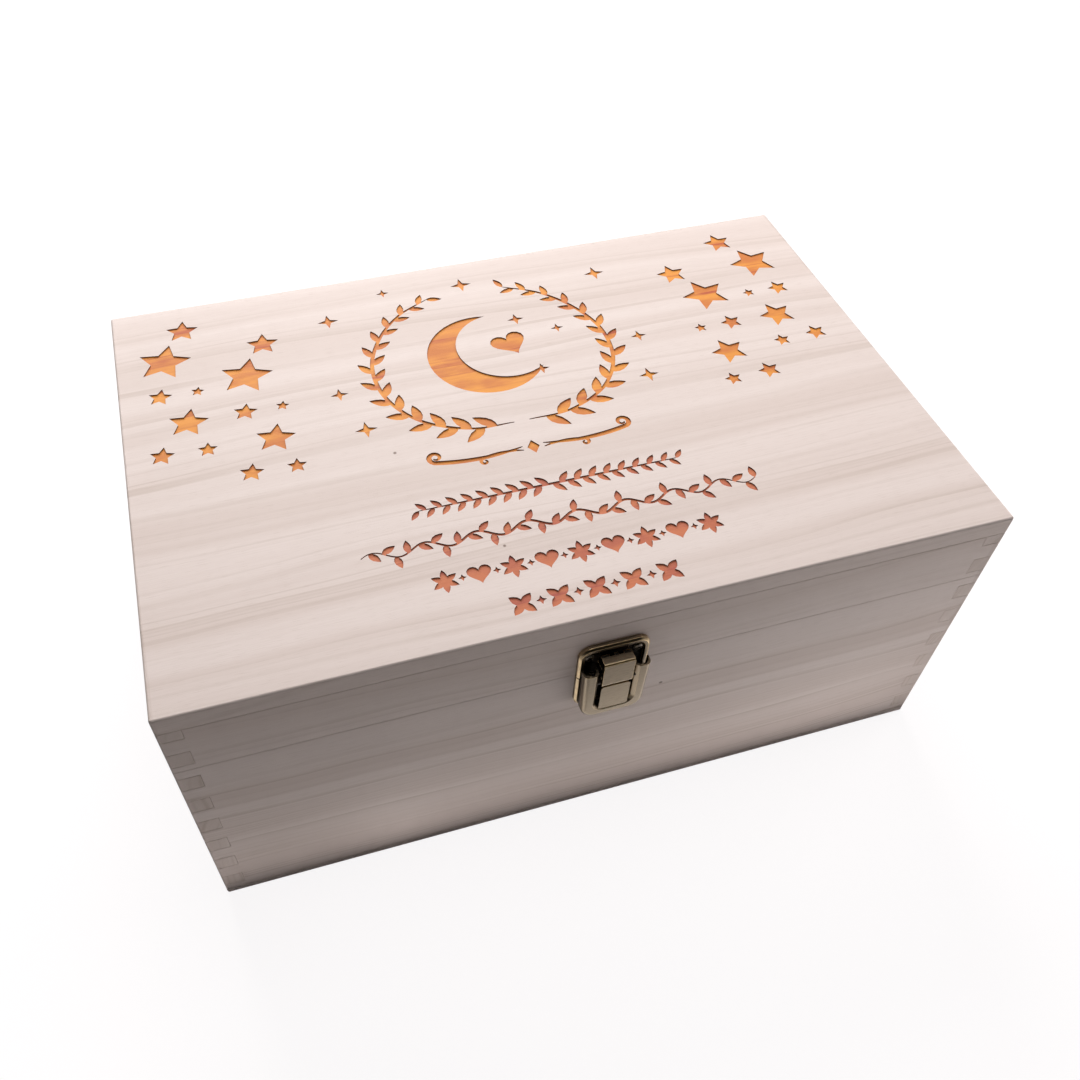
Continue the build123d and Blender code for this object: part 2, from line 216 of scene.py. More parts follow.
clear = ramp(wood_tree, patch, 0.35, 0.65, 0.35, 1.0)
strength = calc(wood_tree, "MULTIPLY", ramp(wood_tree, ring_tone, 0.38, 0.68), clear)
strength = calc(wood_tree, "MULTIPLY", strength, late)
strength = calc(wood_tree, "MULTIPLY", strength, given["Ring Strength"], clamp=True)
print("rings:", len(wood_tree.nodes), "nodes")

# %% Sawn wood: bands, fibres, pores and what they colour
bands = noise(wood_tree, None, 1.0, 3.0, 0.6, dimensions="1D",
              w=calc(wood_tree, "MULTIPLY_ADD", radius, 55.0, 31.0))
fibre = noise(wood_tree, place, 1.0, 3.0, 0.65, stretch=(55.0, 2600.0, 2600.0))
pores = ramp(wood_tree, noise(wood_tree, place, 1.0, 1.0, 0.5, stretch=(160.0, 4200.0, 4200.0)), 0.60, 0.72)
band_mix = calc(wood_tree, "MULTIPLY", ramp(wood_tree, bands, 0.32, 0.70), given["Band Strength"])
fibre_mix = calc(wood_tree, "MULTIPLY", ramp(wood_tree, fibre, 0.35, 0.70), given["Fibre Strength"])
colour = mix(wood_tree, band_mix, given["Pale"], given["Tan"])
colour = mix(wood_tree, calc(wood_tree, "MULTIPLY", fibre_mix, 0.5), colour, given["Tan"])
colour = mix(wood_tree, strength, colour, given["Ring"])
pore_mix = calc(wood_tree, "MULTIPLY", calc(wood_tree, "MULTIPLY", pores, given["Fibre Strength"]), 0.45)
colour = mix(wood_tree, pore_mix, colour, given["Ring"])
plug(wood_tree, colour, result["Color"])
plug(wood_tree, calc(wood_tree, "MULTIPLY_ADD", fibre, 0.22, 0.52), result["Roughness"])
height = calc(wood_tree, "MULTIPLY_ADD", pores, -0.6, calc(wood_tree, "MULTIPLY_ADD", late, 0.25, fibre))
plug(wood_tree, height, result["Height"])
grain_value = calc(wood_tree, "MULTIPLY_ADD", band_mix, 0.6, calc(wood_tree, "MULTIPLY", strength, 1.4))
plug(wood_tree, calc(wood_tree, "MULTIPLY_ADD", calc(wood_tree, "SUBTRACT", fibre, 0.5), 0.5, grain_value),
     result["Grain"])
print("sawn_wood group:", len(wood_tree.nodes), "nodes")

# %% [markdown]
# ## Wood materials
# One material for each way a board lies. A Mapping node turns the coordinates so that the group's X
# always runs along the board, and tilts them a little because no saw follows a log exactly: on the
# front that makes the lines rise towards the right. End grain drinks light, so the ends of the
# fingers, which are the only faces across the board at the corners, are a little darker. The few
# dark spots are where the photographed boards have them, in millimetres. Each is a real speck,
# except the pin hole on the front, whose shade is painted in as a dark spot.


# %% Material helpers
def new_material(name):
    material = bpy.data.materials.new(name)
    material.use_nodes = True
    tree = material.node_tree
    return material, tree, tree.nodes["Principled BSDF"]


def object_coordinates(tree):
    return add(tree, "ShaderNodeTexCoord").outputs["Object"]


def placed_group(tree, group, vector, values):
    """The shader group on a vector, with its other inputs by name."""
    node = add(tree, "ShaderNodeGroup", node_tree=group)
    plug(tree, vector, node.inputs["Vector"])
    for key, value in values.items():
        plug(tree, value, node.inputs[key.replace("_", " ")])
    return node


def board_grain(tree, rotation, values):
    """The wood along a board. Gives the turned coordinates and the group."""
    mapped = add(tree, "ShaderNodeMapping")
    plug(tree, object_coordinates(tree), mapped.inputs["Vector"])
    mapped.inputs["Rotation"].default_value = [math.radians(a) for a in rotation]
    return mapped.outputs[0], placed_group(tree, wood_tree, mapped.outputs[0], values)


def bumped(tree, height, shader, strength, distance):
    bump = add(tree, "ShaderNodeBump")
    bump.inputs["Strength"].default_value = strength
    bump.inputs["Distance"].default_value = distance
    plug(tree, height, bump.inputs["Height"])
    plug(tree, bump.outputs[0], shader.inputs["Normal"])


# %% Material builder for wood, with a darker end, dark spots and painted hole shade
END_BROWN = (0.42, 0.32, 0.25, 1)
# Colour of each speck, and of the painted shade in the pin hole.
SPECK_AND_HOLE_SHADE_BROWN = (0.16, 0.10, 0.07, 1)
WOOD_SHINE = 0.25


def wood_material(name, end_limit, rotation, specks_and_hole_shade=(), **values):
    """Wood whose grain runs along the mapped X. Past end_limit along it the board's end shows."""
    material, tree, shader = new_material(name)
    turned, grain = board_grain(tree, rotation, values)
    along = add(tree, "ShaderNodeSeparateXYZ", turned).outputs["X"]
    end = ramp(tree, calc(tree, "ABSOLUTE", along), end_limit - 0.7 * MM, end_limit - 0.3 * MM)
    colour = mix(tree, calc(tree, "MULTIPLY", end, 0.12), grain.outputs["Color"], END_BROWN)
    coords = object_coordinates(tree)
    # Each dark spot is a real speck, except the pin hole's, which is painted shade.
    for x, y, z, radius in specks_and_hole_shade:
        spot = (x * MM, y * MM, z * MM)
        away = add(tree, "ShaderNodeVectorMath", coords, spot, operation="DISTANCE").outputs["Value"]
        dark = ramp(tree, away, 0.3 * radius * MM, radius * MM, 0.8, 0.0)
        colour = mix(tree, dark, colour, SPECK_AND_HOLE_SHADE_BROWN)
    plug(tree, colour, shader.inputs["Base Color"])
    plug(tree, grain.outputs["Roughness"], shader.inputs["Roughness"])
    bumped(tree, grain.outputs["Height"], shader, 0.35, 0.06 * MM)
    shader.inputs["Specular IOR Level"].default_value = WOOD_SHINE
    return material


# %% Wood materials
TOP_TURN = (0, 0, -0.6)
TOP_SPECKS = ((-54, -9, 130, 0.9), (-28, -63, 130, 0.8))
# The second spot on the front is painted shade: a pin hole's dark, drawn as colour.
FRONT_SPECKS_AND_HOLE_SHADE = ((22, -100, 78, 1.0), (142.5, -100, 121, 0.9))


def sawn(log_y, log_z, ring_width, rings, bands, fibres, seed):
    """How a board was sawn: the log's middle, the rings' width in metres, and how much each shows."""
    return {"Log_Y": log_y, "Log_Z": log_z, "Ring_Width": ring_width, "Ring_Strength": rings,
            "Band_Strength": bands, "Fibre_Strength": fibres, "Seed": seed}


TOP_CUT = sawn(0.17, 0.05, 0.0048, 0.42, 0.55, 0.45, 2.3)
LONG_CUT = sawn(-0.165, 0.145, 0.0034, 0.50, 0.55, 0.5, 5.1)
SIDE_CUT = sawn(0.26, 0.02, 0.0042, 0.50, 0.55, 0.5, 8.7)
BASE_CUT = sawn(0.3, -0.2, 0.0040, 0.35, 0.45, 0.4, 12.9)
top_wood = wood_material("top_board_wood", HALF_WIDTH, TOP_TURN, TOP_SPECKS, **TOP_CUT)
long_wood = wood_material("long_wall_wood", HALF_WIDTH, (0, 1.3, 0), FRONT_SPECKS_AND_HOLE_SHADE, **LONG_CUT)
side_wood = wood_material("side_wall_wood", HALF_DEPTH, (0, 0.8, 90), **SIDE_CUT)
base_wood = wood_material("base_board_wood", HALF_WIDTH, (0, 0, 0.5), **BASE_CUT)
print("wood materials:", top_wood.name, long_wood.name, side_wood.name, base_wood.name)

# %% [markdown]
# ## Boards
# The CAD boards have knife-sharp edges, and no sanded board has. A copy of each gets a tiny rounding
# on every edge. Where two boards meet, two roundings make the fine shadow line that shows the finger
# joints, the saw cut and the base board, with no line painted anywhere. A CAD mesh comes as loose
# triangles, so the copy is merged into whole faces first. Weighted normals keep the big faces flat.


# %% Board helpers
def merged(node):
    """A CAD node's shape as a bmesh of whole faces."""
    shape = bmesh.new()
    shape.from_mesh(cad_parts[node].data)
    shape.faces.ensure_lookup_table()
    bmesh.ops.remove_doubles(shape, verts=shape.verts, dist=2e-6)
    bmesh.ops.dissolve_limit(shape, angle_limit=math.radians(0.6), verts=shape.verts, edges=shape.edges)
    return shape


def soften(shape, width, segments, angle=28):
    """Rounds every edge sharper than the angle, and marks the rounding as worn."""
    worn = shape.faces.layers.float.new("worn")
    edges = [e for e in shape.edges
             if len(e.link_faces) == 2 and e.calc_face_angle(0) > math.radians(angle)]
    made = bmesh.ops.bevel(shape, geom=edges, offset=width, offset_type="OFFSET", segments=segments,
                           profile=0.5, affect="EDGES", clamp_overlap=True)
    for face in made["faces"]:
        face[worn] = 1.0


def plain_mesh(work, name):
    """The object's shape with its modifiers, as a new object without any."""
    bpy.context.view_layer.update()
    graph = bpy.context.evaluated_depsgraph_get()
    mesh = bpy.data.meshes.new_from_object(work.evaluated_get(graph), depsgraph=graph)
    mesh.name = name
    done = bpy.data.objects.new(name, mesh)
    scene.collection.objects.link(done)
    bpy.data.objects.remove(work)
    return done


def smooth_object(shape, name, material, angle=35):
    """An object from a bmesh, smooth up to the angle, with big faces kept flat."""
    mesh = bpy.data.meshes.new(name + "_work")
    for face in shape.faces:
        face.smooth = True
    shape.to_mesh(mesh)
    shape.free()
    mesh.set_sharp_from_angle(angle=math.radians(angle))
    mesh.materials.append(material)
    work = bpy.data.objects.new(name + "_work", mesh)
    scene.collection.objects.link(work)
    weights = work.modifiers.new("flat faces", "WEIGHTED_NORMAL")
    weights.keep_sharp = True
    return plain_mesh(work, name)


def settle(piece, body, slot, *nodes):
    """The piece rides on its body and stands for the CAD nodes. The slot is not used."""
    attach(piece, body)
    if nodes:
        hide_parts(*nodes)
    return piece


# %% Walls, rails and base
BOARD_ROUNDING = 0.22 * MM
walls = {}
for side in ("front", "back", "left", "right"):
    wood = long_wood if side in ("front", "back") else side_wood
    for node, body in ((f"{side}_wall", "case"), (f"lid_{side}_rail", "lid")):
        shape = merged(node)
        soften(shape, BOARD_ROUNDING, 2)
        walls[node] = settle(smooth_object(shape, node + "_board", wood), body, "wall_boards", node)
shape = merged("base_panel")
soften(shape, BOARD_ROUNDING, 2)
base = settle(smooth_object(shape, "base_board", base_wood), "case", "base_board", "base_panel")
print("boards:", len(walls) + 1)

# %% [markdown]
# ## Geometry Nodes helpers
# Stars, leaves and screws each follow one rule many times over, so the rule is written once as a node
# group and its sizes are named inputs. `grow` lays a group over a source, reads the result off as a
# plain mesh and leaves no modifier behind.


# %% Geometry Nodes helpers
def points_mesh(name, places, **values):
    """A mesh of loose points, with one named number for each point and each keyword."""
    mesh = bpy.data.meshes.new(name)
    mesh.from_pydata(places, [], [])
    for key, numbers in values.items():
        mesh.attributes.new(key, "FLOAT", "POINT").data.foreach_set("value", numbers)
    return mesh


def grow(name, group, source, **inputs):
    """The group's result on the source, as a plain object."""
    work = bpy.data.objects.new(name + "_work", source)
    scene.collection.objects.link(work)
    modifier = work.modifiers.new("rule", "NODES")
    modifier.node_group = group
    for item in group.interface.items_tree:
        key = item.name.replace(" ", "_")
        if item.item_type == "SOCKET" and item.in_out == "INPUT" and key in inputs:
            modifier[item.identifier] = inputs[key]
    return plain_mesh(work, name)


def geometry_group(name, inputs):
    """An empty geometry group: geometry in and out, then the named inputs."""
    return new_group(name, [("Geometry", "NodeSocketGeometry", None)] + inputs,
                     [("Geometry", "NodeSocketGeometry")], kind="GeometryNodeTree")


def vector_of(tree, x=0.0, y=0.0, z=0.0):
    return add(tree, "ShaderNodeCombineXYZ", x, y, z).outputs[0]


def field(tree, name):
    return add(tree, "GeometryNodeInputNamedAttribute", name, data_type="FLOAT").outputs[0]


# %% Geometry group: thicken a flat outline into a closed plate
plate_tree, given, result = geometry_group(
    "flat_to_plate", [("Below", FLOAT, 0.5 * MM), ("Above", FLOAT, 0.5 * MM)])
lowered = add(plate_tree, "GeometryNodeTransform")
plug(plate_tree, given["Geometry"], lowered.inputs["Geometry"])
drop = calc(plate_tree, "MULTIPLY", given["Below"], -1.0)
plug(plate_tree, vector_of(plate_tree, 0.0, 0.0, drop), lowered.inputs["Translation"])
raised = add(plate_tree, "GeometryNodeExtrudeMesh", mode="FACES")
plug(plate_tree, lowered.outputs[0], raised.inputs["Mesh"])
plug(plate_tree, vector_of(plate_tree, 0.0, 0.0, 1.0), raised.inputs["Offset"])
plug(plate_tree, calc(plate_tree, "ADD", given["Below"], given["Above"]), raised.inputs["Offset Scale"])
raised.inputs["Individual"].default_value = False
under = add(plate_tree, "GeometryNodeFlipFaces")
plug(plate_tree, lowered.outputs[0], under.inputs[0])
both = add(plate_tree, "GeometryNodeJoinGeometry")
plug(plate_tree, raised.outputs["Mesh"], both.inputs[0])
plug(plate_tree, under.outputs[0], both.inputs[0])
closed = add(plate_tree, "GeometryNodeMergeByDistance")
plug(plate_tree, both.outputs[0], closed.inputs["Geometry"])
closed.inputs["Distance"].default_value = 0.001 * MM
plug(plate_tree, closed.outputs[0], result["Geometry"])
print("flat_to_plate group:", len(plate_tree.nodes), "nodes")


# %% Shared endings of the rules
def dressed(tree, geometry, given, result):
    """Ends a tree: instances made real, with the given material."""
    real = add(tree, "GeometryNodeRealizeInstances")
    plug(tree, geometry, real.inputs[0])
    painted = add(tree, "GeometryNodeSetMaterial")
    plug(tree, real.outputs[0], painted.inputs["Geometry"])
    plug(tree, given["Material"], painted.inputs["Material"])
    plug(tree, painted.outputs[0], result["Geometry"])


def instanced(tree, points, instance, angle, scale, given, result):
    """Ends a tree with instances turned about Z and scaled flat."""
    copied = add(tree, "GeometryNodeInstanceOnPoints")
    plug(tree, points, copied.inputs["Points"])
    plug(tree, instance, copied.inputs["Instance"])
    plug(tree, vector_of(tree, 0.0, 0.0, angle), copied.inputs["Rotation"])
    plug(tree, vector_of(tree, scale, scale, 1.0), copied.inputs["Scale"])
    dressed(tree, copied.outputs[0], given, result)


# %% [markdown]
# ## Engraving: the stars
# The laser burns away a thin, even layer, so each star is a flat-bottomed pocket about half a
# millimetre deep. Each star's place, size and turn is a point, and one rule makes all of them.

# %% Geometry group: stars on points
star_tree, given, result = geometry_group(
    "stars", [("Tips", "NodeSocketInt", 5), ("Inner Ratio", FLOAT, 0.48), ("Depth", FLOAT, 0.5 * MM),
              ("Material", "NodeSocketMaterial", None)])
outline = add(star_tree, "GeometryNodeCurveStar")
plug(star_tree, given["Tips"], outline.inputs["Points"])
plug(star_tree, given["Inner Ratio"], outline.inputs["Inner Radius"])
outline.inputs["Outer Radius"].default_value = 1.0
filled = add(star_tree, "GeometryNodeFillCurve", mode="NGONS")
plug(star_tree, outline.outputs[0], filled.inputs[0])
plate = add(star_tree, "GeometryNodeGroup", node_tree=plate_tree)
plug(star_tree, filled.outputs[0], plate.inputs["Geometry"])
plug(star_tree, given["Depth"], plate.inputs["Below"])
turned = calc(star_tree, "ADD", field(star_tree, "turn"), math.pi / 2)
instanced(star_tree, given["Geometry"], plate.outputs[0], turned, field(star_tree, "size"), given, result)
print("stars group:", len(star_tree.nodes), "nodes")

# %% Stars in millimetres from the lid's middle: x, y, radius, turn in degrees
ENGRAVED = 0.5 * MM
LEFT_STARS = (
    (-122.4, 83.6, 6.7, -7), (-131.2, 65.6, 10.8, -16), (-91.8, 66.8, 6.7, -6), (-100.8, 49.0, 10.7, -16),
    (-134.4, 45.0, 4.8, -14), (-120.1, 44.8, 2.7, -14), (-125.4, 27.8, 7.9, -14), (-103.9, 28.1, 4.8, -13),
    (-89.7, 27.9, 2.7, -14), (-136.4, 12.2, 4.8, -13), (-119.9, 11.4, 3.8, -6), (-95.0, 10.9, 7.8, -14),
    (-106.0, -4.8, 4.7, -12), (-89.6, -5.6, 3.8, -5))
RIGHT_STARS = (
    (118.2, 84.0, 6.6, 6), (127.0, 66.1, 10.5, 15), (88.5, 67.2, 6.7, 5), (97.0, 49.6, 10.5, 15),
    (115.7, 45.8, 2.7, 10), (129.7, 45.9, 4.7, 12), (85.7, 28.9, 2.7, 0), (99.7, 29.1, 4.7, 12),
    (120.8, 28.9, 7.8, 14), (90.9, 12.0, 7.7, 14), (115.2, 12.6, 3.6, 4), (131.2, 13.6, 4.6, 13),
    (85.3, -4.3, 3.7, 8), (101.5, -3.3, 4.8, 12))
stars = LEFT_STARS + RIGHT_STARS
star_points = points_mesh(
    "star_points", [(x * MM, y * MM, TOP_Z) for x, y, _, _ in stars],
    size=[r * MM for _, _, r, _ in stars], turn=[math.radians(a) for *_, a in stars])
cutters = [grow("star_cutters", star_tree, star_points, Depth=ENGRAVED)]
print("stars:", len(stars))

# %% [markdown]
# ## Engraving: leaves
# The wreath and the borders are one leaf repeated along a stem. A leaf is a circle pressed flat so
# that both its ends come to a point. Leaves stand alternately left and right of the stem, lean
# forward, and grow smaller towards the tip.

# %% Geometry group: one flat leaf
leaf_tree, given, result = geometry_group("leaf", [("Length", FLOAT, 1.0), ("Width", FLOAT, 0.4)])
ring = add(leaf_tree, "GeometryNodeCurvePrimitiveCircle", mode="RADIUS")
ring.inputs["Resolution"].default_value = 14
ring.inputs["Radius"].default_value = 1.0
spot = add(leaf_tree, "ShaderNodeSeparateXYZ", add(leaf_tree, "GeometryNodeInputPosition").outputs[0]).outputs
along = calc(leaf_tree, "POWER", calc(leaf_tree, "MULTIPLY_ADD", spot["X"], 0.4999, 0.5), 1.25)
half = calc(leaf_tree, "MULTIPLY", given["Width"], 0.5)
half = calc(leaf_tree, "MULTIPLY", calc(leaf_tree, "ABSOLUTE", spot["Y"]), half)
pressed = add(leaf_tree, "GeometryNodeSetPosition")
plug(leaf_tree, ring.outputs[0], pressed.inputs["Geometry"])
plug(leaf_tree, vector_of(leaf_tree, calc(leaf_tree, "MULTIPLY", along, given["Length"]),
                          calc(leaf_tree, "MULTIPLY", spot["Y"], half)), pressed.inputs["Position"])
filled = add(leaf_tree, "GeometryNodeFillCurve", mode="NGONS")
plug(leaf_tree, pressed.outputs[0], filled.inputs[0])
plug(leaf_tree, filled.outputs[0], result["Geometry"])
print("leaf group:", len(leaf_tree.nodes), "nodes")


# %% Geometry group: leaves along a stem
def leaf_plate(tree, given):
    blade = add(tree, "GeometryNodeGroup", node_tree=leaf_tree)
    plug(tree, given["Leaf Length"], blade.inputs["Length"])
    plug(tree, given["Leaf Width"], blade.inputs["Width"])
    plate = add(tree, "GeometryNodeGroup", node_tree=plate_tree)
    plug(tree, blade.outputs[0], plate.inputs["Geometry"])
    plug(tree, given["Depth"], plate.inputs["Below"])
    return plate.outputs[0]


branch_tree, given, result = geometry_group(
    "leaves_along",
    [("Count", "NodeSocketInt", 12), ("Leaf Length", FLOAT, 8 * MM), ("Leaf Width", FLOAT, 3 * MM),
     ("Lean", FLOAT, 0.8), ("Tip Scale", FLOAT, 0.6), ("Depth", FLOAT, 0.5 * MM),
     ("Material", "NodeSocketMaterial", None)])
stops = add(branch_tree, "GeometryNodeCurveToPoints", mode="COUNT")
plug(branch_tree, given["Geometry"], stops.inputs["Curve"])
plug(branch_tree, given["Count"], stops.inputs["Count"])
number = add(branch_tree, "GeometryNodeInputIndex").outputs[0]
side = calc(branch_tree, "MULTIPLY_ADD", calc(branch_tree, "MODULO", number, 2.0), 2.0, -1.0)
heading = add(branch_tree, "ShaderNodeSeparateXYZ", stops.outputs["Tangent"]).outputs
angle = calc(branch_tree, "ARCTAN2", heading["Y"], heading["X"])
angle = calc(branch_tree, "MULTIPLY_ADD", side, given["Lean"], angle)
share = calc(branch_tree, "DIVIDE", number, given["Count"])
scale = calc(branch_tree, "MULTIPLY_ADD", calc(branch_tree, "SUBTRACT", given["Tip Scale"], 1.0), share, 1.0)
instanced(branch_tree, stops.outputs["Points"], leaf_plate(branch_tree, given), angle, scale, given, result)

# %% Geometry group: rosettes of leaves on points
rosette_tree, given, result = geometry_group(
    "rosettes",
    [("Petals", "NodeSocketInt", 6), ("Leaf Length", FLOAT, 4 * MM), ("Leaf Width", FLOAT, 1.8 * MM),
     ("Depth", FLOAT, 0.5 * MM), ("Material", "NodeSocketMaterial", None)])
copies = add(rosette_tree, "GeometryNodeDuplicateElements", domain="POINT")
plug(rosette_tree, given["Geometry"], copies.inputs["Geometry"])
plug(rosette_tree, given["Petals"], copies.inputs["Amount"])
step = calc(rosette_tree, "DIVIDE", 2 * math.pi, given["Petals"])
first = field(rosette_tree, "turn")
angle = calc(rosette_tree, "MULTIPLY_ADD", copies.outputs["Duplicate Index"], step, first)
instanced(rosette_tree, copies.outputs["Geometry"], leaf_plate(rosette_tree, given), angle,
          field(rosette_tree, "size"), given, result)
print("leaf groups:", branch_tree.name, rosette_tree.name)

# %% [markdown]
# ## Engraving: strokes, moon and hearts
# The rest of the design is drawn with strokes that swell and thin like a pen's, and with a few shapes
# from formulas. Everything is planned in millimetres round the middle line of the design, which on
# the photographed lid lies slightly left of the lid's own.

# %% Stroke helpers
MIDDLE = -3.5


def smooth_path(corners, steps=10):
    """Points of a smooth curve through the corners."""
    knots = [Vector(c) for c in corners]
    knots = [2 * knots[0] - knots[1]] + knots + [2 * knots[-1] - knots[-2]]
    path = []
    for a, b, c, d in zip(knots, knots[1:], knots[2:], knots[3:]):
        for i in range(steps):
            t = i / steps
            path.append(0.5 * (2 * b + (c - a) * t + (2 * a - 5 * b + 4 * c - d) * t * t
                               + (3 * b - a - 3 * c + d) * t ** 3))
    return path + [Vector(corners[-1])]


def mirrored(path):
    return [Vector((-p.x, p.y)) for p in path]


def prism_mesh(name, rings, caps):
    """A closed solid over flat corners in millimetres: the rings' sides and the caps, low and high."""
    shape = bmesh.new()
    low, high = TOP_Z - ENGRAVED, TOP_Z + ENGRAVED
    for corners, faces in zip(rings, caps):
        under = [shape.verts.new(((MIDDLE + p.x) * MM, p.y * MM, low)) for p in corners]
        over = [shape.verts.new(((MIDDLE + p.x) * MM, p.y * MM, high)) for p in corners]
        for i in range(len(corners)):
            j = (i + 1) % len(corners)
            shape.faces.new((under[i], under[j], over[j], over[i]))
        for face in faces:
            shape.faces.new([over[i] for i in face])
            shape.faces.new([under[i] for i in reversed(face)])
    bmesh.ops.recalc_face_normals(shape, faces=shape.faces)
    mesh = bpy.data.meshes.new(name)
    shape.to_mesh(mesh)
    shape.free()
    tool = bpy.data.objects.new(name, mesh)
    scene.collection.objects.link(tool)
    return tool


def stroke(name, path, widest, thinnest=0.35):
    """A pen stroke along the path, thin at both ends and widest in the middle."""
    left, right = [], []
    for i, p in enumerate(path):
        ahead = path[min(i + 1, len(path) - 1)] - path[max(i - 1, 0)]
        side = Vector((-ahead.y, ahead.x)).normalized()
        swell = math.sin(math.pi * i / (len(path) - 1)) ** 0.7
        half = (thinnest + (widest - thinnest) * swell) / 2
        left.append(p + side * half)
        right.append(p - side * half)
    count = len(path)
    quads = [(i, i + 1, 2 * count - 2 - i, 2 * count - 1 - i) for i in range(count - 1)]
    return prism_mesh(name, [left + right[::-1]], [quads])


def filled_shape(name, outlines):
    return prism_mesh(name, outlines, [[tuple(range(len(o)))] for o in outlines])


print("pen helpers are ready, the design's middle is at x =", MIDDLE, "mm")


# %% Shapes from formulas
def placed(path, x, y, size=1.0, turn=0.0):
    c, s = math.cos(math.radians(turn)) * size, math.sin(math.radians(turn)) * size
    return [Vector((x + p.x * c - p.y * s, y + p.x * s + p.y * c)) for p in path]


def heart(points=28):
    """Outline of a heart about two units wide."""
    path = []
    for i in range(points):
        t = 2 * math.pi * (i + 0.5) / points
        wide = math.sin(t) ** 3
        tall = (13 * math.cos(t) - 5 * math.cos(2 * t) - 2 * math.cos(3 * t) - math.cos(4 * t)) / 16
        path.append(Vector((wide, tall)))
    return path


def crescent(outer, inner, offset, points=34):
    """A moon: a circle with another, offset along X, taken out of it."""
    meet = (outer ** 2 - inner ** 2 + offset ** 2) / (2 * offset)
    a, b = math.acos(meet / outer), math.acos((meet - offset) / inner)
    path = []
    for i in range(points):
        t = a + (2 * math.pi - 2 * a) * i / points
        path.append(Vector((outer * math.cos(t), outer * math.sin(t))))
    for i in range(points):
        t = 2 * math.pi - b - (2 * math.pi - 2 * b) * i / points
        path.append(Vector((offset + inner * math.cos(t), inner * math.sin(t))))
    return path


def scroll(length, rise, curl, points=46, straight=0.62):
    """A line that sets out along X and, past its straight share, winds up into a curl."""
    place = Vector((0, 0))
    path = [place]
    heading = math.radians(-rise)
    rest = 1.0 - straight
    for i in range(points):
        t = i / points
        step = length / points
        if t < straight:
            heading += 2 * math.radians(rise) / (straight * points)
        else:
            step *= 1.0 - 0.72 * (t - straight) / rest
            heading += math.radians(curl) / (rest * points)
        place = place + step * Vector((math.cos(heading), math.sin(heading)))
        path.append(place)
    return path


def leafy(name, path, **sizes):
    """Leaves along a path, as a cutter."""
    curve = bpy.data.curves.new(name, "CURVE")
    curve.dimensions = "3D"
    line = curve.splines.new("POLY")
    line.points.add(len(path) - 1)
    for point, p in zip(line.points, path):
        point.co = ((MIDDLE + p.x) * MM, p.y * MM, TOP_Z, 1.0)
    return grow(name, branch_tree, curve, Depth=ENGRAVED, **sizes)


# %% Wreath, moon and scrolls
WREATH = ((3, -5), (20, -4), (37, 5), (47, 21), (48.5, 40), (42, 57), (31, 70), (17, 78))
right_branch = smooth_path(WREATH)
tools = []
for name, path in (("right_branch", right_branch), ("left_branch", mirrored(right_branch))):
    tools.append(stroke(name, path, 1.7))
    tools.append(leafy(name + "_leaves", path[4:], Count=25, Leaf_Length=10.5 * MM, Leaf_Width=4.4 * MM,
                       Lean=math.radians(40), Tip_Scale=0.62))
tools.append(filled_shape("moon", [placed(crescent(24, 20, 9.5), -2, 37, turn=22)]))
tools.append(filled_shape("moon_heart", [placed(heart(), 9, 41, 7.5, turn=14)]))
long_line = placed(scroll(54, 13, 430), 4, -18.5)
short_line = placed(scroll(26, -16, -360), 4, -20.5)
for name, turned_over in (("right_scroll", list), ("left_scroll", mirrored)):
    tools.append(stroke(name, turned_over(long_line), 2.2))
    tools.append(stroke(name + "_inner", turned_over(short_line), 1.5))
LOZENGE = ((-2.4, -19.5), (0, -23), (2.4, -19.5), (0, -16))
tools.append(filled_shape("lozenge", [[Vector(corner) for corner in LOZENGE]]))
print("wreath, moon and scrolls:", len(tools), "tools")

# %% Sparks in millimetres from the design's middle: x, y, radius
SPARKS = (
    (-60, 74, 4.4), (-34, 87, 2.8), (59, 77, 4.6), (-64, 28, 3.6), (-58, 6, 4.4), (62, 31, 3.4),
    (57, 7, 4.2), (0, 84, 4.6), (16, 55, 3.6), (31, 45, 2.8), (17, 22, 3.2))
spark_points = points_mesh("spark_points", [((MIDDLE + x) * MM, y * MM, TOP_Z) for x, y, _ in SPARKS],
                           size=[r * MM for *_, r in SPARKS], turn=[0.0] * len(SPARKS))
tools.append(grow("sparks", star_tree, spark_points, Tips=4, Inner_Ratio=0.34, Depth=ENGRAVED))
print("sparks:", len(SPARKS))

# %% [markdown]
# ## Engraving: four border rows
# Below the wreath stand four rows of ornament, each as wide as a line of writing would be: a garland
# of leaves, a wavy vine, rosettes with hearts, and four-leaved flowers. A row is evenly spaced, so a
# list of places along X is all that it needs.


# %% Helpers for the rows
def row_points(name, xs, y, size, turn=0.0):
    return points_mesh(name, [((MIDDLE + x) * MM, y * MM, TOP_Z) for x in xs], size=[size] * len(xs),
                       turn=[turn] * len(xs))


def evenly(half, count):
    return [-half + 2 * half * i / (count - 1) for i in range(count)]


ROW_1, ROW_2, ROW_3, ROW_4 = -39.5, -56.0, -72.5, -88.5
print("rows at y =", ROW_1, ROW_2, ROW_3, ROW_4, "mm")

# %% The garland and the vine
garland = [Vector((x, ROW_1)) for x in evenly(49, 60)]
tools.append(stroke("row_1_stem", garland, 1.1))
for half, line in (("a", garland[:30][::-1]), ("b", garland[30:])):
    tools.append(leafy("row_1_leaves_" + half, line, Count=18, Leaf_Length=6.2 * MM, Leaf_Width=2.7 * MM,
                       Lean=math.radians(48), Tip_Scale=0.8))
vine = [Vector((x, ROW_2 + 2.0 * math.sin(x * math.pi / 9.2))) for x in evenly(73, 150)]
tools.append(stroke("row_2_vine", vine, 1.15))
tools.append(leafy("row_2_leaves", vine[3:], Count=34, Leaf_Length=5.6 * MM, Leaf_Width=2.8 * MM,
                   Lean=math.radians(58), Tip_Scale=1.0))

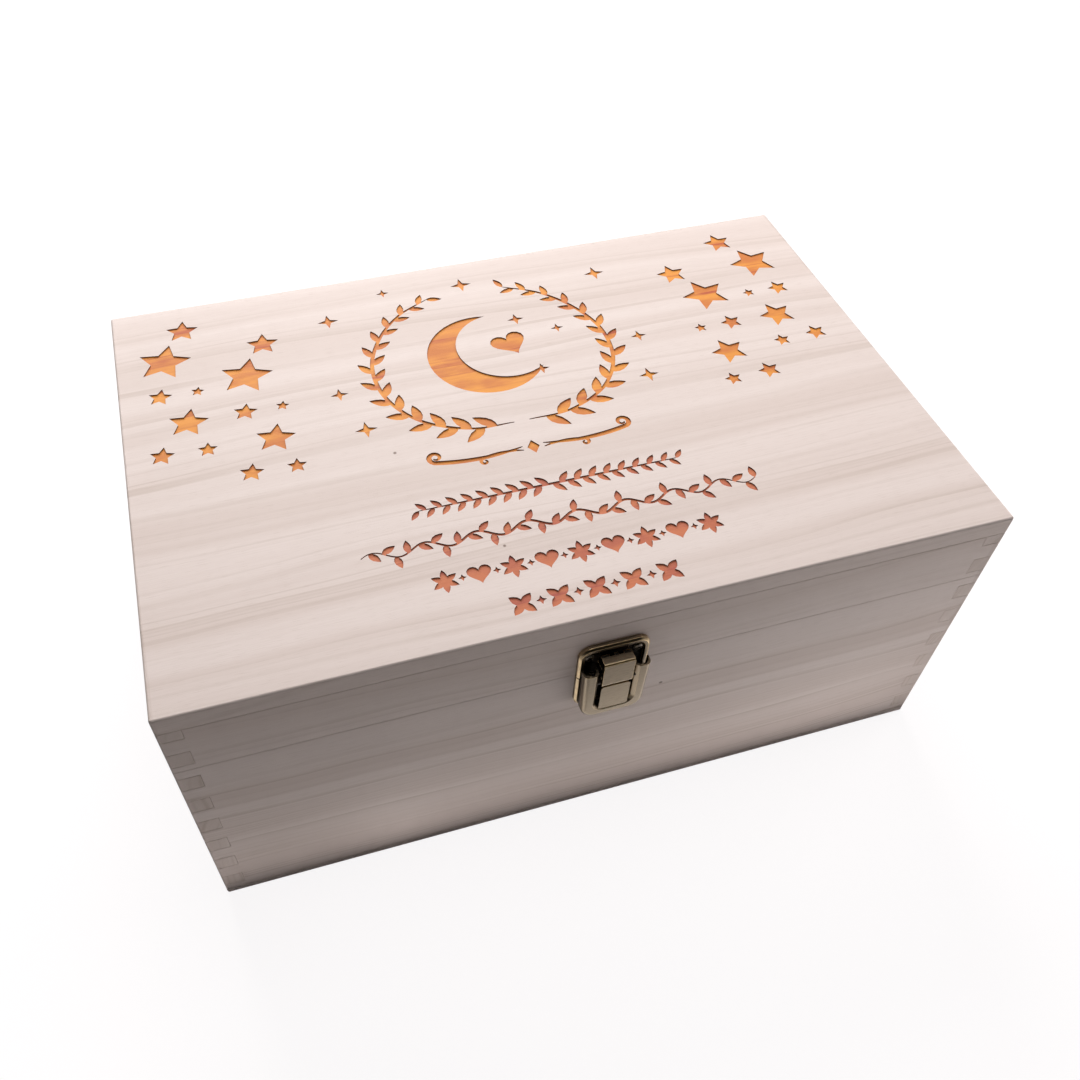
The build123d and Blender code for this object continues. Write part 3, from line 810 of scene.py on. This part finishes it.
# %% The rosettes, the hearts and the flowers
hearts = [placed(heart(), x, ROW_3 + 0.4, 4.3) for x in (-36, -12, 12, 36)]
tools.append(filled_shape("row_3_hearts", hearts))
rosettes = row_points("row_3_points", (-48, -24, 0, 24, 48), ROW_3, 1.0, math.pi / 6)
tools.append(grow("row_3_rosettes", rosette_tree, rosettes, Leaf_Length=5.0 * MM, Leaf_Width=2.5 * MM,
                  Depth=ENGRAVED))
flowers = row_points("row_4_points", evenly(26, 5), ROW_4, 1.0, math.pi / 4)
tools.append(grow("row_4_rosettes", rosette_tree, flowers, Petals=4, Leaf_Length=5.4 * MM,
                  Leaf_Width=3.2 * MM, Depth=ENGRAVED))
BETWEEN = (("row_3_stars", evenly(42, 8), ROW_3, 1.5), ("row_4_stars", evenly(19.5, 4), ROW_4, 1.9))
for name, xs, y, size in BETWEEN:
    between = row_points(name + "_points", xs, y, size * MM)
    tools.append(grow(name, star_tree, between, Tips=4, Inner_Ratio=0.45, Depth=ENGRAVED))
cutters += tools
print("engraving tools:", len(cutters))

# %% [markdown]
# ## Burnt wood
# A laser doesn't blacken this wood: it caramelises it. The floor of each pocket turns amber where the
# wood is soft and rust red along the harder late rings, so the grain shows on. The walls, which the
# edge of the beam only scorches, are a greyish brown. The finer rows were burnt slower, and redder.

# %% Material: engraved wood
AMBER_PALE = (0.82, 0.33, 0.062, 1)
AMBER_RUST = (0.50, 0.115, 0.050, 1)
RUSSET_PALE = (0.62, 0.20, 0.095, 1)
RUSSET_DARK = (0.42, 0.10, 0.075, 1)
SCORCHED = (0.235, 0.13, 0.085, 1)
engraved_wood, tree, shader = new_material("engraved_wood")
coords = object_coordinates(tree)
_, grain = board_grain(tree, TOP_TURN, TOP_CUT)
streak = ramp(tree, grain.outputs["Grain"], 0.18, 0.62)
cloud = ramp(tree, noise(tree, coords, 1.0, 2.0, 0.5, stretch=(60.0, 170.0, 60.0)), 0.35, 0.68)
streak = calc(tree, "MULTIPLY_ADD", cloud, 0.55, calc(tree, "MULTIPLY", streak, 0.6), clamp=True)
amber = mix(tree, streak, AMBER_PALE, AMBER_RUST)
russet = mix(tree, streak, RUSSET_PALE, RUSSET_DARK)
down = add(tree, "ShaderNodeSeparateXYZ", coords).outputs["Y"]
floor_colour = mix(tree, ramp(tree, down, -26 * MM, -34 * MM), amber, russet)
burnt = add(tree, "ShaderNodeAttribute", attribute_name="burnt").outputs["Fac"]
plug(tree, mix(tree, burnt, floor_colour, SCORCHED), shader.inputs["Base Color"])
shader.inputs["Roughness"].default_value = 0.62
shader.inputs["Specular IOR Level"].default_value = WOOD_SHINE
bumped(tree, grain.outputs["Height"], shader, 0.5, 0.1 * MM)
print("engraved wood:", len(tree.nodes), "nodes")

# %% Engraved top
shape = merged("lid_top_panel")
soften(shape, BOARD_ROUNDING, 2)
top = smooth_object(shape, "lid_top_plain", top_wood)


def engrave(board, tools, name):
    """The board with every tool's shape cut out of it, its pockets marked as burnt."""
    drawer = bpy.data.collections.new("engraving_tools")
    for tool in tools:
        drawer.objects.link(tool)
    cut = board.modifiers.new("engraving", "BOOLEAN")
    cut.operation, cut.operand_type, cut.solver = "DIFFERENCE", "COLLECTION", "EXACT"
    cut.collection, cut.use_self = drawer, True
    done = plain_mesh(board, name)
    for tool in tools:
        bpy.data.objects.remove(tool)
    bpy.data.collections.remove(drawer)
    done.data.materials.clear()
    for material in (top_wood, engraved_wood):
        done.data.materials.append(material)
    burnt = done.data.attributes.new("burnt", "FLOAT", "FACE")
    for face in done.data.polygons:
        x, y, z = face.center
        inside = abs(x) < HALF_WIDTH - 2 * MM and abs(y) < HALF_DEPTH - 2 * MM
        if inside and TOP_Z - 2 * ENGRAVED < z < TOP_Z - 0.01 * MM:
            face.material_index = 1
            burnt.data[face.index].value = 0.0 if face.normal.z > 0.7 else 1.0
        else:
            face.material_index = 0
    return done


top = settle(engrave(top, cutters, "lid_top_board"), "lid", "top_board", "lid_top_panel")
print("top board faces:", len(top.data.polygons))

# %% [markdown]
# ## Antique bronze
# The latch is stamped from brass sheet and dipped in a bath that turns it black. Then it is rubbed,
# so the black stays in the hollows, the broad faces go a greyish bronze with fine brushing lines, and
# the folds and edges go bright gold. The bevel that softens the edges also marks them as worn.

# %% Shader group: rubbed bronze
bronze_tree, given, result = new_group(
    "rubbed_bronze",
    [("Vector", VECTOR, None), ("Worn", FLOAT, 0.0), ("Standing", FLOAT, 0.5),
     ("Black", COLOUR, (0.030, 0.022, 0.017, 1)), ("Bronze", COLOUR, (0.27, 0.215, 0.15, 1)),
     ("Gold", COLOUR, (0.80, 0.60, 0.34, 1))],
    [("Color", COLOUR), ("Roughness", FLOAT), ("Height", FLOAT)],
)
blotches = noise(bronze_tree, given["Vector"], 260.0, 3.0, 0.6)
brushing = noise(bronze_tree, given["Vector"], 1.0, 2.0, 0.6, stretch=(380.0, 4200.0, 4200.0))
uneven = calc(bronze_tree, "SUBTRACT", blotches, 0.5)
rubbed = calc(bronze_tree, "MULTIPLY_ADD", uneven, 0.9, given["Standing"])
rubbed = ramp(bronze_tree, rubbed, 0.15, 0.62)
lines = ramp(bronze_tree, brushing, 0.30, 0.72, -0.25, 0.25)
rubbed = calc(bronze_tree, "ADD", rubbed, lines, clamp=True)
patchy = ramp(bronze_tree, blotches, 0.25, 0.6, 0.45, 1.0)
edge = calc(bronze_tree, "MULTIPLY", given["Worn"], patchy, clamp=True)
colour = mix(bronze_tree, rubbed, given["Black"], given["Bronze"])
colour = mix(bronze_tree, edge, colour, given["Gold"])
plug(bronze_tree, colour, result["Color"])
rough = calc(bronze_tree, "MULTIPLY_ADD", brushing, 0.18, 0.30)
rough = calc(bronze_tree, "MULTIPLY_ADD", rubbed, -0.10, rough)
plug(bronze_tree, rough, result["Roughness"])
plug(bronze_tree, calc(bronze_tree, "MULTIPLY_ADD", blotches, 0.6, brushing), result["Height"])
print("rubbed_bronze group:", len(bronze_tree.nodes), "nodes")


# %% Material builder for metal
BAND_OUT, BAND_IN = 1.9 * MM, 2.3 * MM


def bronze_material(name, low, high, rim=None, **values):
    """Bronze that is black up to the depth low, and fully rubbed from the stand-off high on.

    rim is (middle height, half width, half height) of a tray whose edge band is rubbed at any depth."""
    material, tree, shader = new_material(name)
    coords = object_coordinates(tree)
    grain = placed_group(tree, bronze_tree, coords, values)
    worn = add(tree, "ShaderNodeAttribute", attribute_name="worn").outputs["Fac"]
    plug(tree, worn, grain.inputs["Worn"])
    spot = add(tree, "ShaderNodeSeparateXYZ", coords).outputs
    standing = ramp(tree, spot["Y"], low, high)
    if rim is not None:
        middle, half_width, half_height = rim
        height = calc(tree, "ABSOLUTE", calc(tree, "SUBTRACT", spot["Z"], middle))
        width = calc(tree, "ABSOLUTE", spot["X"])
        for distance, half in ((width, half_width), (height, half_height)):
            band = ramp(tree, distance, half - BAND_IN, half - BAND_OUT)
            standing = calc(tree, "MAXIMUM", standing, band)
    plug(tree, standing, grain.inputs["Standing"])
    plug(tree, grain.outputs["Color"], shader.inputs["Base Color"])
    plug(tree, grain.outputs["Roughness"], shader.inputs["Roughness"])
    shader.inputs["Metallic"].default_value = 1.0
    bumped(tree, grain.outputs["Height"], shader, 0.4, 0.04 * MM)
    return material


# %% Metal materials
plate_low, plate_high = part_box("latch_strike_plate")
lever_low, lever_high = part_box("latch_lever")
hinge_low, hinge_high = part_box("hinge_left_body_leaf")
keeper_low, keeper_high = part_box("latch_keeper_plate")
tray = ((keeper_high.z + plate_low.z) / 2, keeper_high.x, (keeper_high.z - plate_low.z) / 2)
plate_back = plate_high.y
plate_bronze = bronze_material("latch_plate_bronze", plate_back - 1.0 * MM, plate_back - 2.2 * MM, rim=tray)
lever_bronze = bronze_material("latch_lever_bronze", lever_high.y, lever_low.y + 1.5 * MM)
strap_bronze = bronze_material("latch_strap_bronze", lever_high.y, lever_low.y + 2.5 * MM)
hinge_bronze = bronze_material("hinge_bronze", hinge_low.y - 1.0 * MM, hinge_low.y + 0.5 * MM)
dark_bronze = bronze_material("dark_bronze", 0.0, 1.0, Bronze=(0.12, 0.095, 0.07, 1))
screw_bronze = bronze_material("screw_bronze", 0.6, -0.4, Bronze=(0.34, 0.30, 0.25, 1))
# A black finish for the painted shade behind the catch's window.
painted_shade_black = bronze_material("blackened_bronze", 0.0, 1.0, Bronze=(0.05, 0.04, 0.03, 1))
print("latch tray:", [round(1e3 * v, 1) for v in tray], "mm")

# %% [markdown]
# ## Latch and hinges
# Each stamped part is a copy of its CAD shape with its sharp edges eased, which is what tumbling
# does to stampings. The easing is narrower than the sheet is thick, so no form changes.


# %% Stamped parts
SHEET_EASING = 0.12 * MM
PLANE = 0.97


def stamped(node, body, material, slot="aged_bronze", fold_wear=0.0):
    """A stamping. fold_wear is how bare the metal is on its folds and chamfers."""
    shape = merged(node)
    soften(shape, SHEET_EASING, 2, angle=40)
    worn = shape.faces.layers.float["worn"]
    for face in shape.faces:
        if face[worn] == 0.0 and max(abs(v) for v in face.normal) < PLANE:
            face[worn] = fold_wear
    return settle(smooth_object(shape, node + "_metal", material, angle=30), body, slot, node)


stampings = [
    stamped("latch_keeper_plate", "lid", plate_bronze, fold_wear=0.45),
    stamped("latch_strike_plate", "case", plate_bronze, fold_wear=0.45),
    stamped("latch_lever", "lever", lever_bronze),
    stamped("latch_strap", "strap", strap_bronze, fold_wear=1.0)]
for side in ("left", "right"):
    stampings.append(stamped(f"hinge_{side}_body_leaf", "case", hinge_bronze))
    stampings.append(stamped(f"hinge_{side}_lid_leaf", "lid", hinge_bronze))
    stampings.append(stamped(f"hinge_{side}_pin", "case", dark_bronze, "dark_bronze"))
for node in ("latch_lever_pins", "latch_strap_pin"):
    stampings.append(stamped(node, "lever", dark_bronze, "dark_bronze"))
print("stamped parts and pins:", len(stampings))

# %% [markdown]
# ## The catch's window: painted shade
# The catch is bent out of the upper plate and leaves a window behind it. The photograph shows that
# window black because it lies in shade, so a thin black sheet on the wood paints that shade in. The
# photograph shows that window black and can't show why, so a liner is a guess: a thin black sheet on
# the wood, thinner than the plate that hides the rest of it. It is painted shade, thinner than the
# plate that hides the rest of it. Without it the pale wood would shine through.

# %% Painted shade: a black sheet behind the catch's window
SHADE_SHEET_THICKNESS, SHADE_SHEET_CORNER = 0.2 * MM, 1.5 * MM
half, low, high = 6.5 * MM, keeper_low.z + 0.6 * MM, keeper_low.z + 14 * MM
outline = [(-half, low), (half, low), (half, high - SHADE_SHEET_CORNER), (half - SHADE_SHEET_CORNER, high),
           (SHADE_SHEET_CORNER - half, high), (-half, high - SHADE_SHEET_CORNER)]
shape = bmesh.new()
shape.faces.layers.float.new("worn")
face = shape.faces.new([shape.verts.new((x, keeper_high.y, z)) for x, z in outline])
swept = bmesh.ops.extrude_face_region(shape, geom=[face])["geom"]
front = [v for v in swept if isinstance(v, bmesh.types.BMVert)]
bmesh.ops.translate(shape, vec=(0, -SHADE_SHEET_THICKNESS, 0), verts=front)
bmesh.ops.recalc_face_normals(shape, faces=shape.faces)
# The black sheet paints the window's shade in as colour.
settle(smooth_object(shape, "latch_window_liner", painted_shade_black), "lid", "aged_bronze")
print("liner:", round(2e3 * half, 1), "mm wide")

# %% [markdown]
# ## Screws
# Twelve small wood screws with a cross slot hold the hinges and the latch. Their thread is rolled and
# their cross is pressed into the head cold. One rule turns a head, cuts the cross and winds the
# thread. The places come from the CAD screws.

# %% Geometry group: cross-head screws, each standing along its point's Y
screw_tree, given, result = geometry_group(
    "cross_head_screws",
    [("Head Radius", FLOAT, 1.9 * MM), ("Head Height", FLOAT, 0.8 * MM), ("Core Radius", FLOAT, 0.8 * MM),
     ("Shank Length", FLOAT, 6.5 * MM), ("Thread Radius", FLOAT, 0.25 * MM), ("Thread Turns", FLOAT, 5.0),
     ("Slot Length", FLOAT, 2.2 * MM), ("Slot Width", FLOAT, 0.42 * MM), ("Slot Depth", FLOAT, 0.5 * MM),
     ("Material", "NodeSocketMaterial", None)])


def shaped_rod(tree, sides, steps, radius, length, top, bulge, power):
    """A round bar down from z = top. Its radius falls by the bulge towards one end, in a curve."""
    rod = add(tree, "GeometryNodeMeshCylinder", fill_type="NGON")
    sizes = {"Vertices": sides, "Side Segments": steps, "Radius": radius, "Depth": length}
    for name, value in sizes.items():
        plug(tree, value, rod.inputs[name])
    spot = add(tree, "ShaderNodeSeparateXYZ", add(tree, "GeometryNodeInputPosition").outputs[0]).outputs
    share = calc(tree, "ADD", calc(tree, "DIVIDE", spot["Z"], length), 0.5)
    if power < 0:
        share = calc(tree, "SUBTRACT", 1.0, share)
    fall = calc(tree, "MULTIPLY", calc(tree, "POWER", share, abs(power)), bulge)
    factor = calc(tree, "SQRT", calc(tree, "SUBTRACT", 1.0, fall, clamp=True))
    low = calc(tree, "SUBTRACT", top, calc(tree, "MULTIPLY", length, 0.5))
    moved = add(tree, "GeometryNodeSetPosition")
    plug(tree, rod.outputs["Mesh"], moved.inputs["Geometry"])
    x, y = (calc(tree, "MULTIPLY", spot[axis], factor) for axis in "XY")
    plug(tree, vector_of(tree, x, y, calc(tree, "ADD", spot["Z"], low)), moved.inputs["Position"])
    return moved.outputs[0]


head = shaped_rod(screw_tree, 24, 5, given["Head Radius"], given["Head Height"], 0.0, 0.62, 2.0)
cross = add(screw_tree, "GeometryNodeMeshBoolean", operation="DIFFERENCE", solver="EXACT")
plug(screw_tree, head, cross.inputs["Mesh 1"])
deep = calc(screw_tree, "MULTIPLY", given["Slot Depth"], 2.0)
for size in ((given["Slot Length"], given["Slot Width"]), (given["Slot Width"], given["Slot Length"])):
    bar = add(screw_tree, "GeometryNodeMeshCube")
    plug(screw_tree, vector_of(screw_tree, size[0], size[1], deep), bar.inputs["Size"])
    screw_tree.links.new(bar.outputs["Mesh"], cross.inputs["Mesh 2"])
below = calc(screw_tree, "MULTIPLY", given["Head Height"], -1.0)
shank = shaped_rod(screw_tree, 12, 8, given["Core Radius"], given["Shank Length"], below, 0.995, -6.0)
print("head and shank:", len(screw_tree.nodes), "nodes")

# %% The thread, and the whole screw on its points
coil = add(screw_tree, "GeometryNodeCurveSpiral")
COIL = {"Resolution": 12, "Rotations": given["Thread Turns"], "Start Radius": given["Core Radius"],
        "End Radius": calc(screw_tree, "MULTIPLY", given["Core Radius"], 0.85),
        "Height": calc(screw_tree, "MULTIPLY", given["Shank Length"], -0.75)}
for name, value in COIL.items():
    plug(screw_tree, value, coil.inputs[name])
ridge = add(screw_tree, "GeometryNodeCurvePrimitiveCircle", mode="RADIUS")
ridge.inputs["Resolution"].default_value = 3
plug(screw_tree, given["Thread Radius"], ridge.inputs["Radius"])
wound = add(screw_tree, "GeometryNodeCurveToMesh")
plug(screw_tree, coil.outputs[0], wound.inputs["Curve"])
plug(screw_tree, ridge.outputs[0], wound.inputs["Profile Curve"])
wound.inputs["Fill Caps"].default_value = True
sunk = add(screw_tree, "GeometryNodeTransform")
plug(screw_tree, wound.outputs[0], sunk.inputs["Geometry"])
thread_top = calc(screw_tree, "SUBTRACT", below, given["Thread Radius"])
plug(screw_tree, vector_of(screw_tree, 0.0, 0.0, thread_top), sunk.inputs["Translation"])
whole = add(screw_tree, "GeometryNodeJoinGeometry")
for piece in (cross.outputs["Mesh"], shank, sunk.outputs[0]):
    screw_tree.links.new(piece, whole.inputs[0])
driven = add(screw_tree, "GeometryNodeInstanceOnPoints")
plug(screw_tree, given["Geometry"], driven.inputs["Points"])
plug(screw_tree, whole.outputs[0], driven.inputs["Instance"])
lying = vector_of(screw_tree, field(screw_tree, "tilt"), field(screw_tree, "spin"))
plug(screw_tree, lying, driven.inputs["Rotation"])
dressed(screw_tree, driven.outputs[0], given, result)
print("cross_head_screws group:", len(screw_tree.nodes), "nodes")


# %% Screws in their places
def solids(node):
    """The corners of each separate solid of a CAD node."""
    shape = merged(node)
    left = set(shape.verts)
    boxes = []
    while left:
        island, edge = set(), {left.pop()}
        while edge:
            island |= edge
            edge = {e.other_vert(v) for v in edge for e in v.link_edges} - island
        left -= island
        corners = [[f(v.co[i] for v in island) for i in range(3)] for f in (min, max)]
        boxes.append((Vector(corners[0]), Vector(corners[1])))
    shape.free()
    return sorted(boxes, key=lambda box: tuple(box[0]))


def screws(node, body, spins):
    """Screws in the places of the node's own, each turned about its axis by its spin in degrees."""
    boxes = solids(node)
    out = 1 if boxes[0][0].y > 0 else -1
    places = [((a.x + b.x) / 2, b.y if out > 0 else a.y, (a.z + b.z) / 2) for a, b in boxes]
    points = points_mesh(node + "_points", places, tilt=[-out * math.pi / 2] * len(places),
                         spin=[math.radians(s) for s in spins])
    made = grow(node + "_turned", screw_tree, points, Head_Radius=(boxes[0][1].x - boxes[0][0].x) / 2,
                Material=screw_bronze)
    return settle(made, body, "aged_bronze_screws", node)


made = [
    screws("hinge_body_screws", "case", (12, 48, 77, 31)),
    screws("hinge_lid_screws", "lid", (64, 5, 39, 82)),
    screws("latch_keeper_screws", "lid", (38, 52)),
    screws("latch_strike_screws", "case", (20, 71))]
print("faces of all screws:", sum(len(o.data.polygons) for o in made))

# %% [markdown]
# ## Stage
# A plain white floor stands for the paper sweep of a product photograph. Such a photograph is exposed
# until its background is pure white, so what the camera itself sees of the floor is lifted towards
# white, and only a trace of the shadow stays.

# %% Floor
floor_mesh = bmesh.new()
bmesh.ops.create_grid(floor_mesh, x_segments=1, y_segments=1, size=4.0)
floor_data = bpy.data.meshes.new("floor")
floor_mesh.to_mesh(floor_data)
floor_mesh.free()
floor_data.transform(Matrix.Translation((0, 0, -0.00005)))
floor = bpy.data.objects.new("floor", floor_data)
scene.collection.objects.link(floor)
material, tree, shader = new_material("floor_white")
shader.inputs["Base Color"].default_value = (0.80, 0.78, 0.775, 1)
shader.inputs["Roughness"].default_value = 0.9
glow = add(tree, "ShaderNodeEmission")
glow.inputs["Color"].default_value = (1.0, 0.985, 0.99, 1)
glow.inputs["Strength"].default_value = 1.13
blend = add(tree, "ShaderNodeMixShader")
lifted = calc(tree, "MULTIPLY", add(tree, "ShaderNodeLightPath").outputs["Is Camera Ray"], 0.80)
plug(tree, lifted, blend.inputs[0])
plug(tree, shader.outputs[0], blend.inputs[1])
plug(tree, glow.outputs[0], blend.inputs[2])
plug(tree, blend.outputs[0], tree.nodes["Material Output"].inputs["Surface"])
floor_data.materials.append(material)
print("floor:", floor.name)

# %% [markdown]
# ## Lights
# The top is lit by a broad soft light that hangs behind the box and a smaller one straight above it,
# with a weaker one from the right. The front lies in shade and gets its light from below: white cards
# on the floor in front of it, which throw the light up. They grow brighter towards the right, because
# the photographed front is darkest at its upper left. A card is far weaker than a lamp, but very near.
# The powers were found by rendering each light alone and weighing them against the photograph.


# %% Light helper
def soft_light(name, place, aim, size, power, height=None, colour=(1.0, 0.985, 0.975)):
    """A round soft light, or with a height an oblong one, aimed at a point."""
    data = bpy.data.lights.new(name, "AREA")
    data.shape = "DISK" if height is None else "RECTANGLE"
    data.size, data.energy, data.color = size, power, colour
    if height is not None:
        data.size_y = height
    lamp = bpy.data.objects.new(name, data)
    lamp.visible_camera = False
    lamp.location = place
    lamp.rotation_euler = (Vector(aim) - Vector(place)).to_track_quat("-Z", "Y").to_euler()
    scene.collection.objects.link(lamp)


# %% Lamps
soft_light("back_light", (0, 0.95, 0.75), (0, 0, 0.1), 0.9, 17.3)
soft_light("top_light", (0, 0, 1.2), (0, 0, 0.1), 0.7, 3.25)
soft_light("right_light", (0.8, 0.1, 0.7), (0, 0, 0.1), 0.6, 3.04)
soft_light("right_card", (0.45, -0.5, 0.12), (0.05, -0.1, 0.06), 0.3, 0.139, height=0.2)

# %% Cards on the floor: name, place along X and Y, width, depth, power
FLOOR_CARDS = (
    ("floor_card_right", 0.18, -0.2, 0.2, 0.12, 0.0735),
    ("near_card_left", -0.13, -0.135, 0.12, 0.04, 0.0137),
    ("near_card_middle", -0.03, -0.135, 0.12, 0.04, 0.017),
    ("near_card_right", 0.09, -0.135, 0.12, 0.04, 0.0188))
CARD_HEIGHT = 0.003
for name, x, y, width, depth, power in FLOOR_CARDS:
    soft_light(name, (x, y, CARD_HEIGHT), (x, y, 1), width, power, height=depth)

# %% The white round the scene, which lights nothing
world = bpy.data.worlds.new("studio")
scene.world = world
world.use_nodes = True
tree = world.node_tree
seen = add(tree, "ShaderNodeBackground")
seen.inputs["Color"].default_value = (1, 1, 1, 1)
seen.inputs["Strength"].default_value = 1.1
unseen = tree.nodes["Background"]
unseen.inputs["Strength"].default_value = 0.0
either = add(tree, "ShaderNodeMixShader")
plug(tree, add(tree, "ShaderNodeLightPath").outputs["Is Camera Ray"], either.inputs[0])
plug(tree, unseen.outputs[0], either.inputs[1])
plug(tree, seen.outputs[0], either.inputs[2])
plug(tree, either.outputs[0], tree.nodes["World Output"].inputs["Surface"])
print("world:", world.name)
